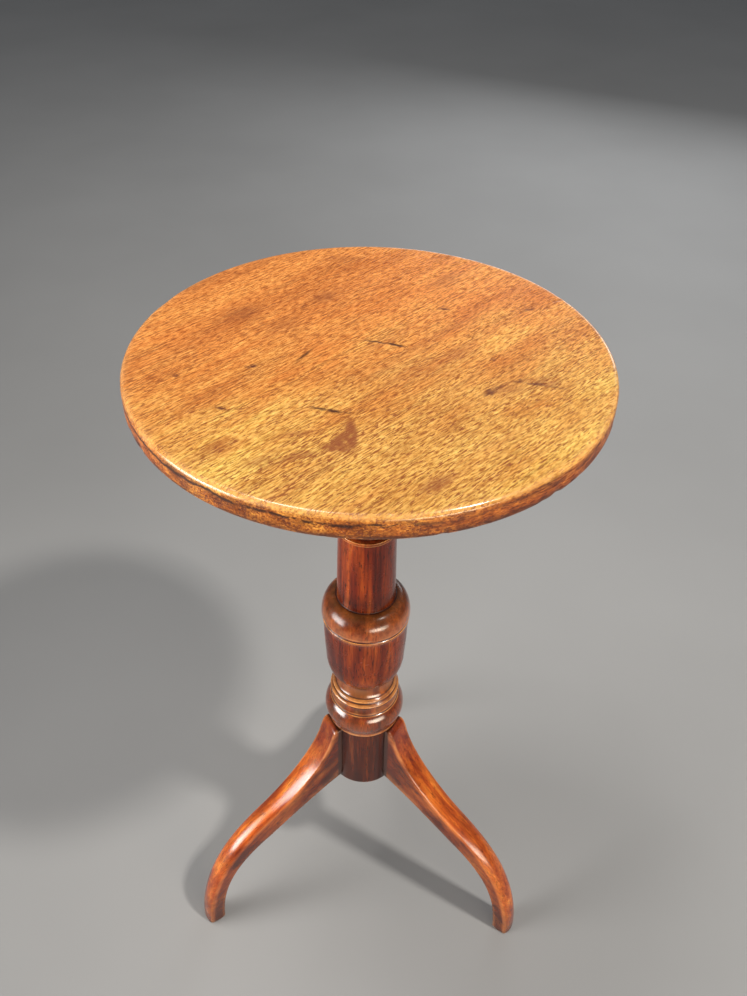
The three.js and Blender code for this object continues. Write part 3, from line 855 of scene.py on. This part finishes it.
def floor_paint():
    """Plain pale paint."""
    mat = Recipe("floor_paint")
    tone = mat.noise(mat.place, 2, 3)
    mat.colour = mat.ramp(tone, (0.3, (0.33, 0.328, 0.325)), (0.7, (0.36, 0.358, 0.355)))
    return mat.surface(
        roughness=0.6, specular=0.3, normal=mat.bump(mat.noise(mat.place, 300, 2), 0.05, 0.3),
    )


# ------------ top

RIM_SIDES = 720
RIM_BAND = 8  # damage at the rim fades out this far in from the edge
# damage along the lower and the upper arris
CHIP = {"scale": 2.2, "shift": (0, 0, 0), "over": 0.12, "depth": 3.2, "reach": 11}
DENT = {"scale": 1.3, "shift": (9, 2, 5), "over": 0.35, "depth": 2.0, "reach": 3.5}
UNTRUE = 0.15  # the rim isn't quite round
DIP = 0.12  # and the face isn't quite flat
# a split in the rim
CRACK = {"azimuth": 31, "half_angle": 0.13, "length": 7, "depth": 2.2, "gap": 1.2}


def top_outline():
    """The board's outline from the middle of its underside to the middle of its face."""
    under = [(r, TOP_UNDERSIDE) for r in range(0, 180, 20)]
    face = [(r, TOP_HEIGHT) for r in range(180, -1, -12)]
    low = ellipse_arc(
        TOP_RADIUS - UNDER_ARRIS, TOP_UNDERSIDE + UNDER_ARRIS, UNDER_ARRIS, UNDER_ARRIS, -90, 0, 12)
    high = ellipse_arc(
        TOP_RADIUS - TOP_ARRIS, TOP_HEIGHT - TOP_ARRIS, TOP_ARRIS, TOP_ARRIS, 0, 90, 10)
    side = [(TOP_RADIUS, TOP_UNDERSIDE + UNDER_ARRIS + rise) for rise in (3, 7)]
    return [Vector(p) for p in [*under, *low, *side, *high, *face]]


def bite(place, kind):
    """How deep a chip or dent is at a place: 0 but where the noise is over a level."""
    level = noise.noise(place * kind["scale"] + Vector(kind["shift"]))
    return max(0.0, level - kind["over"]) * kind["depth"]


def top_mesh():
    crack = radians(CRACK["azimuth"])
    half = radians(CRACK["half_angle"])
    kept = {crack + half * k / 2 for k in (-2, -1, 0, 1, 2)}  # lines round the split
    angles = sorted({a for a in around(RIM_SIDES) if abs(a - crack) > half * 0.4} | kept)
    points, faces, _ = turned(top_outline(), angles)
    wear_and_highlight_amounts, dirty, rim = [], [], []
    for i, (x, y, z) in enumerate(points):
        radius = hypot(x, y)
        azimuth = atan2(y, x)
        edge = near(radius, TOP_RADIUS, RIM_BAND)
        spot = Vector((cos(azimuth) * 7, sin(azimuth) * 7, z * 0.05))  # where the noise is read
        chip = bite(spot, CHIP) * near(z, TOP_UNDERSIDE, CHIP["reach"]) * edge
        dent = bite(spot, DENT) * near(z, TOP_HEIGHT, DENT["reach"]) * edge
        lost = chip + dent + (noise.noise(spot * 0.4) + 1) * UNTRUE * edge
        off = abs(azimuth - crack)
        if off < half and radius > TOP_RADIUS - CRACK["length"]:
            share = (radius - TOP_RADIUS + CRACK["length"]) / CRACK["length"]
            opening = share * (1 - off / half)
            if z > TOP_HEIGHT - 4:
                z -= CRACK["depth"] * opening
            lost += CRACK["gap"] * opening
        if radius > 1:
            x, y = x * (radius - lost) / radius, y * (radius - lost) / radius
        dip = (noise.noise(Vector((x, y, 0)) * 0.012) + 1) * DIP if z > TOP_HEIGHT - 1 else 0
        points[i] = (x, y, z - dip)
        dirty.append(min(1.0, edge * near(z, TOP_UNDERSIDE + 3.5, 5.5) + chip * 0.8))
        wear_and_highlight_amounts.append(edge * near(z, TOP_HEIGHT - 1.2, 3))
        rim.append(edge * min(1.0, (TOP_HEIGHT - z) / 5) if z > TOP_UNDERSIDE + 1 else edge)
    amounts = {"wear_and_highlight": wear_and_highlight_amounts, "dirt": dirty, "rim": rim}
    board = make_mesh("table_top_finished", points, faces, amounts, sharp=50)
    bearer_places = [(x, side * BEARER_Y) for side in (-1, 1) for x in BEARER_SCREWS_X]
    tools = []
    for screw, foot, sides, places in (
        (BEARER_SCREW, BEARER_BOTTOM, 16, bearer_places),
        (CATCH_SCREW, FLANGE_BOTTOM, 12, CATCH_SCREWS),
    ):
        end = foot + screw["length"] + GAP
        bore = cylinder("bore", screw["shank"] + GAP, TOP_UNDERSIDE - MARGIN, end, sides)
        tools += [(bore, at(turn=TILT_AZIMUTH) @ at(x, y)) for x, y in places]
    return combine(board, tools, "DIFFERENCE", sharp=50)


# ------------ column


def column_outline():
    """The turned outline of the column, from its foot to the end of its tenon."""
    return [
        (0, BASE_BOTTOM),
        (BASE_RADIUS, BASE_BOTTOM),
        (BASE_RADIUS, BASE_TOP),
        (37, BASE_TOP),
        (37, 270.5),
        *bowed((37.8, 272), (35, 296), 4, 28),  # collar
        (34, 296.5),
        *bowed((33.8, 298), (33.2, 308), -1.2, 12),  # cove above the collar
        *bowed((33.6, 308.5), (33.6, 312), 1.2, 8),  # lower ring
        (31.8, 312.5),
        *bowed((31.2, 313.5), (31, 317.5), 1.3, 8),  # upper ring
        *bowed((29.2, 318), (27, 332), -1.6, 14),  # cove under the urn
        (27, 333.5),
        *ellipse_arc(27, 362, 11.6, 28, -90, 0, 24),  # the urn's tucked foot
        *bowed((38.9, 366), (40.6, 411), 0.35, 10),
        (41.6, 411.5),
        (41.6, 414),
        (40.6, 414.5),
        (40.6, 417),
        (42, 417.5),
        *ellipse_arc(28.6, 419, 13.8, 21.5, 0, 90, 28),  # domed shoulder
        *bowed((27.7, 441), (26.2, 523), 0, 8),
        (27.4, 524),  # rim at the head of the neck
        (27.4, 527),
        (23, 528.5),
        *bowed((22.9, 530), (20.5, 628), 0, 8),
        (22.5, 629),
        (22.5, 632),
        *bowed((21, 633), (28, 644), -2, 12),  # flare under the block
        (30, 645),
        (30, COLUMN_SHOULDER),
        (TENON_RADIUS, COLUMN_SHOULDER),
        (TENON_RADIUS, COLUMN_TOP),
        (0, COLUMN_TOP),
    ]


def dovetail(name, inset, outer, z0, z1):
    root, throat, back = DOVETAIL["root"], DOVETAIL["throat"], DOVETAIL["back"]
    outline = [
        (root + inset, -back + inset), (outer, -throat + inset),
        (outer, throat - inset), (root + inset, back - inset),
    ]
    return prism(name, outline, z0, z1)


def kerf_mesh():
    """The saw kerf in the tenon that the wedge sits in, wider above."""
    narrow, wide = WEDGE["bottom"] + GAP, WEDGE["top"] + GAP
    bottom, top = COLUMN_TOP - WEDGE["depth"], COLUMN_TOP + 1
    section = [(-narrow, bottom), (narrow, bottom), (wide, top), (-wide, top)]
    half = TENON_RADIUS + MARGIN
    points = [(x, y, z) for y in (-half, half) for x, z in section]
    return make_mesh("kerf", points, skin(4, 2))


def column_mesh():
    column = turned_mesh("column_finished", softened(column_outline(), 0.5), SMOOTH_SIDES)
    slot = dovetail("slot", 0, BASE_RADIUS + MARGIN, BASE_BOTTOM - MARGIN, DOVETAIL["top"])
    tools = [(slot, at(turn=azimuth)) for azimuth in LEG_AZIMUTHS.values()]
    tools.append((kerf_mesh(), at(turn=TILT_AZIMUTH)))
    return combine(column, tools, "DIFFERENCE")


# ------------ legs

LEG_STATIONS = 84
LEG_INNER = BASE_RADIUS - 4
LEG_UNDERSIDE = BASE_BOTTOM + 4
LEG_CROWN = (0.5, 5.1)  # how much the upper face is crowned, by the column and where it is roundest
LEG_ARRIS = (1.6, 4.0)  # the radius of its edges, likewise
LEG_WAVER = 0.0025  # the share by which the sides waver, being cut by hand
CROWN_POWER = 2.3
LOW_ARRIS = 2.2


def leg_edges():
    """The leg's upper and lower edge in side view, as (u, z), from the column out."""
    # the crest is tucked under the collar
    crest = bezier((38, LEG_TOP), (41, LEG_TOP), (43, 258), (45.2, 249), 12)
    hollow = bezier((45.2, 249), (53, 223), (80, 187), (120, 159.5), 60)
    knee = bezier((120, 159.5), (165, 127.8), (202, 86), (FOOT_REACH, 0), 60)
    upper = resampled([(38, LEG_TOP), *crest, *hollow, *knee], LEG_STATIONS)
    inner = bezier((LEG_INNER, LEG_UNDERSIDE), (60, 171), (92, 148), (120, 126.5), 60)
    ankle = bezier((120, 126.5), (162, 99), (181.5, 66), (183.5, 5), 60)
    lower = resampled([(LEG_INNER, LEG_UNDERSIDE), *inner, *ankle], LEG_STATIONS + 3)[3:]
    # each edge starts inside the base block and ends round the worn sole
    upper = [
        (LEG_INNER, LEG_TOP), (LEG_INNER + 5, LEG_TOP), *upper[:-1],
        (FOOT_REACH - 0.02, 2.5), (FOOT_REACH - 0.1, 1.0), (FOOT_REACH - 0.8, 0),
    ]
    lower = [
        (LEG_INNER, LEG_UNDERSIDE), (LEG_INNER + 2, LEG_UNDERSIDE - 1), *lower,
        (187, 2.6), (190.5, 0),
    ]
    return [[Vector(p) for p in edge] for edge in (upper, lower)]


def leg_section(crown, arris, half, depth):
    """Half of the leg's section from the crown round to the middle below, as (y, drop, wear)."""
    start = atan(crown * CROWN_POWER / (half - arris))
    shoulder = half - arris * (1 - sin(start))
    points = []
    for i in range(9):
        y = shoulder * i / 9
        points.append((y, crown * (y / shoulder) ** CROWN_POWER, 0.0))
    for i in range(6):
        angle = start + (pi / 2 - start) * i / 5
        drop = crown + arris * (cos(start) - cos(angle))
        points.append((half - arris * (1 - sin(angle)), drop, 1.0))
    flank_top = points[-1][1]
    for i in range(1, 5):
        points.append((half, flank_top + (depth - LOW_ARRIS - flank_top) * i / 5, 0.0))
    for i in range(5):
        angle = pi / 2 * i / 4
        y = half - LOW_ARRIS * (1 - cos(angle))
        points.append((y, depth - LOW_ARRIS * (1 - sin(angle)), 0.6))
    points.append((half * 0.4, depth, 0.0))
    return points


def leg_half_width(u):
    return blended((LEG_HALF, FOOT_HALF), clamped((u - BASE_RADIUS) / (FOOT_REACH - BASE_RADIUS)))


def leg_mesh(name, seed):
    """A carved leg along +x. Its upper face is flat by the column and rounder towards the foot."""
    upper, lower = leg_edges()
    last = len(upper) - 1
    points, wear_and_highlight_amounts, dirty, flank_shade, root_shade = [], [], [], [], []
    for k, (high, low) in enumerate(zip(upper, lower)):
        along = k / last
        rounding = eased((along - 0.04) / 0.42) * (1 - 0.5 * eased((along - 0.72) / 0.28))
        depth = (low - high).length
        down = (low - high) / depth
        sole = 0.7 if k == last else 0.0  # the sole's edge is broken
        half = leg_half_width((high.x + low.x) / 2) - sole
        crown, arris = blended(LEG_CROWN, rounding), blended(LEG_ARRIS, rounding)
        section = leg_section(crown, arris, half, depth)
        other_side = [(-y, drop, wear_and_highlight) for y, drop, wear_and_highlight in reversed(section[1:])]
        ring = [*section, (0, depth, 0.0), *other_side]
        for y, drop, wear_and_highlight in ring:
            spot = high + down * drop
            waver = 1 - noise.noise(Vector((spot.x * 0.03, y * 0.05, seed * 7)))
            points.append((spot.x, y * (1 - LEG_WAVER * waver), spot.y))
            wear_and_highlight_amounts.append(wear_and_highlight * (0.9 - 0.5 * rounding))
            flank_shade.append(eased((drop - 3.5 - 3 * rounding) / 4))
            dirty.append(near(spot.y, 0, 9) * 0.9)
            root_shade.append(1 - eased((spot.x - 40) / 34))
    faces = skin(len(ring), len(upper))
    amounts = {"wear_and_highlight": wear_and_highlight_amounts, "dirt": dirty, "flank_shade": flank_shade, "root": root_shade}
    blade = make_mesh(name, points, faces, amounts)
    cope = cylinder("cope", BASE_RADIUS + GAP, 0, COLUMN_TOP, SMOOTH_SIDES)
    hole_top = PLATE_SCREW_Z + PLATE_SCREW["length"] + GAP
    hole = cylinder("hole", PLATE_SCREW["shank"] + GAP, LEG_UNDERSIDE - MARGIN, hole_top, 24)
    tongue = dovetail("tongue", GAP, BASE_RADIUS + 4, LEG_UNDERSIDE, DOVETAIL["top"] - GAP)
    coped = combine(blade, [(cope, at())], "DIFFERENCE")
    whole = combine(coped, [(tongue, at())], "UNION")
    return combine(whole, [(hole, at(PLATE_SCREW_RADIUS))], "DIFFERENCE")


# ------------ ironmongery


THREAD = {"root": 0.72, "crest": 0.98, "pitch": 0.8, "start": 0.35}  # shares of shank and length
SLOT_HALF = 0.5


def screw_mesh(name, head, shank, length, round_head=False):
    """A slotted wood screw that points up, with its head's face at z = 0 and a cut thread."""
    cone = head - shank
    if round_head:
        dome = ellipse_arc(0, -0.3, head, head * 0.5, -80, 0, 12)
        outline = [(0, -head * 0.5), *dome, (shank, 0)]
    else:
        face = ellipse_arc(0, 0.25, head, 0.3, -80, 0, 8)
        outline = [(0, -0.06), *face, (head, 0.4), (shank, cone + 0.4)]
    start = cone + length * THREAD["start"]
    pitch, crest = shank * THREAD["pitch"], shank * THREAD["crest"]
    outline.append((crest, start))
    for i in range(int((length - shank - start) / pitch)):
        z = start + i * pitch
        outline += [(shank * THREAD["root"], z + pitch * 0.3), (crest, z + pitch * 0.8)]
    outline += [(shank * 0.75, length - shank), (0, length)]
    body = turned_mesh(name, outline, 32)
    depth = 0.3 - head / 4 if round_head else 0.9
    reach, half = head + 1, SLOT_HALF
    corners = [(-reach, -half), (reach, -half), (reach, half), (-reach, half)]
    slot = prism(name + "_slot", corners, -head, depth)
    return combine(body, [(slot, at())], "DIFFERENCE", sharp=30)


def add_screws(looks):
    """The screws, each turned at random in its hole."""
    lying = Matrix.Rotation(radians(-90), 4, "Y")
    legs = [TABLE @ at(turn=azimuth) for azimuth in LEG_AZIMUTHS.values()]
    left = [TILT @ at(x, -BEARER_Y, BEARER_BOTTOM) for x in BEARER_SCREWS_X]
    right = [TILT @ at(x, BEARER_Y, BEARER_BOTTOM) for x in BEARER_SCREWS_X]
    plate = [leg @ at(PLATE_SCREW_RADIUS, 0, PLATE_SCREW_Z) for leg in legs]
    catch = [TILT @ at(x, y, FLANGE_BOTTOM) for x, y in CATCH_SCREWS]
    strike = [TILT @ at(STRIKE_FACE, y, STRIKE_SCREW_Z) @ lying for y in STRIKE_SCREWS_Y]
    chance = random.Random(4)
    for name, sizes, slot, places in (
        ("bearer_screw_left", BEARER_SCREW, "iron", left),
        ("bearer_screw_right", BEARER_SCREW, "iron", right),
        ("base_plate_screw", PLATE_SCREW, "iron", plate),
        ("catch_screw", CATCH_SCREW, "brass", catch),
        ("strike_screw", STRIKE_SCREW, "brass", strike),
    ):
        mesh = screw_mesh(name, **sizes)
        for i, place in enumerate(places, 1):
            place = place @ at(turn=chance.uniform(0, 180))
            finished(f"{name}_{i}", mesh.copy(), place, looks[slot])


def add_pins(look):
    """The pivot pins, with their edges rounded."""
    inner, outer, radius = PIVOT["inner"], PIVOT["outer"], PIVOT["radius"]
    outline = softened([(0, inner), (radius, inner), (radius, outer), (0, outer)], 0.8)
    for node, side in (("pivot_pin_left", -1), ("pivot_pin_right", 1)):
        lying = Matrix.Rotation(radians(-90 * side), 4, "X")
        place = TILT @ at(PIVOT["x"], 0, PIVOT["z"]) @ lying
        finished(node, turned_mesh(node + "_finished", outline, 48), place, look)


def add_knob(look):
    head = KNOB["head"]
    outline = [
        (0, head),
        *ellipse_arc(0, head + 4, 4.6, 4, -80, 50, 20),
        (KNOB["shank"] + 0.5, head + 7.4),
        (KNOB["shank"], head + 8),
        (KNOB["shank"], KNOB["top"]),
        (0, KNOB["top"]),
    ]
    mesh = turned_mesh("catch_knob_finished", outline, 40)
    finished("catch_knob", mesh, TILT @ at(KNOB["x"]), look)


def spring_mesh():
    """A close helix of round wire along x."""
    sides, steps = 10, SPRING["turns"] * 28
    points = []
    for i in range(steps + 1):
        angle = 2 * pi * SPRING["turns"] * i / steps
        outward = Vector((0, cos(angle), sin(angle)))
        middle = Vector((blended((SPRING["start"], SPRING["end"]), i / steps), 0, SPRING["z"]))
        for a in around(sides):
            across = outward * cos(a) + Vector((1, 0, 0)) * sin(a)
            points.append(middle + outward * SPRING["coil"] + across * SPRING["wire"])
    return make_mesh("catch_spring_finished", points, skin(sides, steps + 1))


def add_spring(look):
    """The spring stretches between the case, on the top, and the bolt."""
    spring = put("catch_spring_finished", spring_mesh(), TILT)
    spring.data.materials.append(look)
    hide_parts("catch_spring")
    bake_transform(spring)


# ------------ flat pieces that keep the CAD shape

EDGE_ANGLE = 40  # edges where two faces meet at more than this are rounded
WELD = 1e-6  # metres
FLAT_PIECES = {  # node: (material, slot, width of the rounded edges)
    "top_block": ("block_wood", "column_wood", 1.2),
    "bearer_left": ("under_wood", "under_wood", 1.0),
    "bearer_right": ("under_wood", "under_wood", 1.0),
    "tenon_wedge": ("leg_wood", "leg_wood", 0.2),
    "base_plate": ("iron", "iron", 0.3),
    "catch_case": ("brass", "brass", 0.25),
    "catch_bolt": ("brass", "brass", 0.3),
    "strike_plate": ("brass", "brass", 0.2),
}


def dress(node, look, width):
    """Gives a CAD node its material and small rounded edges."""
    piece = frame["nodes"][node]
    piece.data.materials.clear()
    piece.data.materials.append(look)
    weld = piece.modifiers.new("weld", "WELD")
    weld.merge_threshold = WELD
    bevel = piece.modifiers.new("edges", "BEVEL")
    bevel.width = width * MM
    bevel.segments = 3
    bevel.limit_method = "ANGLE"
    bevel.angle_limit = radians(EDGE_ANGLE)


# ------------ floor, lights and camera

CAMERA = {"place": (13.7, -629.4, 1084.5), "yaw": 0.82, "pitch": 40.35, "roll": 1.3, "lens": 34.34}
SENSOR = 36  # along the picture's long side
FLOOR_HALF = 20000
FLOOR_DROP = 0.4  # keeps the floor from touching the soles
LIGHTS = (  # name, place, aim, (width, height), watts, colour, spread in degrees
    ("key", (1.25, -0.72, 2.70), (0, 0, 0.45), (0.20, 0.20), 47, (1.0, 0.96, 0.90), 180),
    ("second", (-0.60, 0.15, 2.80), (0, 0, 0.45), (0.6, 0.6), 23, (1.0, 0.97, 0.93), 180),
    ("left", (-1.45, -0.60, 0.64), (0, 0, 0.48), (1.00, 0.85), 5.6, (1.0, 0.98, 0.95), 60),
    ("front", (1.00, -1.60, 0.40), (0, 0, 0.48), (1.5, 0.45), 4.3, (1.0, 0.86, 0.68), 60),
    ("back", (0.90, 2.50, 1.00), (0, 0.4, 0.2), (1.8, 0.8), 13, (0.96, 0.98, 1.0), 180),
)
SKY = (0.80, 0.84, 0.90, 1.0)
SKY_STRENGTH = 0.19


def add_floor(look):
    half = FLOOR_HALF
    corners = [(-half, -half), (half, -half), (half, half), (-half, half)]
    mesh = bpy.data.meshes.new("floor")
    mesh.from_pydata([Vector((x, y, -FLOOR_DROP)) * MM for x, y in corners], [], [(0, 1, 2, 3)])
    floor = put("floor", mesh, Matrix.Identity(4))
    floor.data.materials.append(look)


def add_lights():
    """Soft rectangular lights and a faint even sky."""
    for name, place, aim, size, power, colour, spread in LIGHTS:
        data = bpy.data.lights.new(name, "AREA")
        data.shape = "RECTANGLE"
        data.size, data.size_y = size
        data.energy = power
        data.color = colour
        data.spread = radians(spread)
        place = Vector(place)
        turn = (Vector(aim) - place).to_track_quat("-Z", "Y").to_matrix().to_4x4()
        put(name, data, Matrix.Translation(place) @ turn)
    world = bpy.data.worlds.new("studio")
    world.use_nodes = True
    background = world.node_tree.nodes["Background"]
    background.inputs["Color"].default_value = SKY
    background.inputs["Strength"].default_value = SKY_STRENGTH
    bpy.context.scene.world = world


def add_camera():
    data = bpy.data.cameras.new("camera")
    data.lens = CAMERA["lens"]
    data.sensor_width = SENSOR
    tip = Matrix.Rotation(radians(90 - CAMERA["pitch"]), 4, "X")
    place = at(*CAMERA["place"], turn=CAMERA["yaw"]) @ tip @ at(turn=CAMERA["roll"])
    bpy.context.scene.camera = put("camera", data, place)


# ------------ the scene


def build():
    looks = {
        "top_wood": top_wood(),
        "column_wood": column_wood(),
        "block_wood": column_wood("block_wood", plain=True),
        "leg_wood": leg_wood("leg_wood_wedge", 4),
        "under_wood": under_wood(),
        "brass": brass(),
        "iron": iron(),
        "spring_steel": spring_steel(),
    }
    finished("table_top", top_mesh(), TABLE, looks["top_wood"])
    finished("column", column_mesh(), TABLE, looks["column_wood"])
    for seed, (node, azimuth) in enumerate(LEG_AZIMUTHS.items(), 1):
        mesh = leg_mesh(node + "_finished", seed)
        look = leg_wood(f"leg_wood_{seed}", seed)
        finished(node, mesh, TABLE @ at(turn=azimuth), look)
    for node, (look, slot, width) in FLAT_PIECES.items():
        dress(node, looks[look], width)
    add_screws(looks)
    add_pins(looks["iron"])
    add_knob(looks["brass"])
    add_spring(looks["spring_steel"])
    add_floor(floor_paint())
    add_lights()
    add_camera()
    bpy.context.scene.view_settings.view_transform = "Standard"


build()
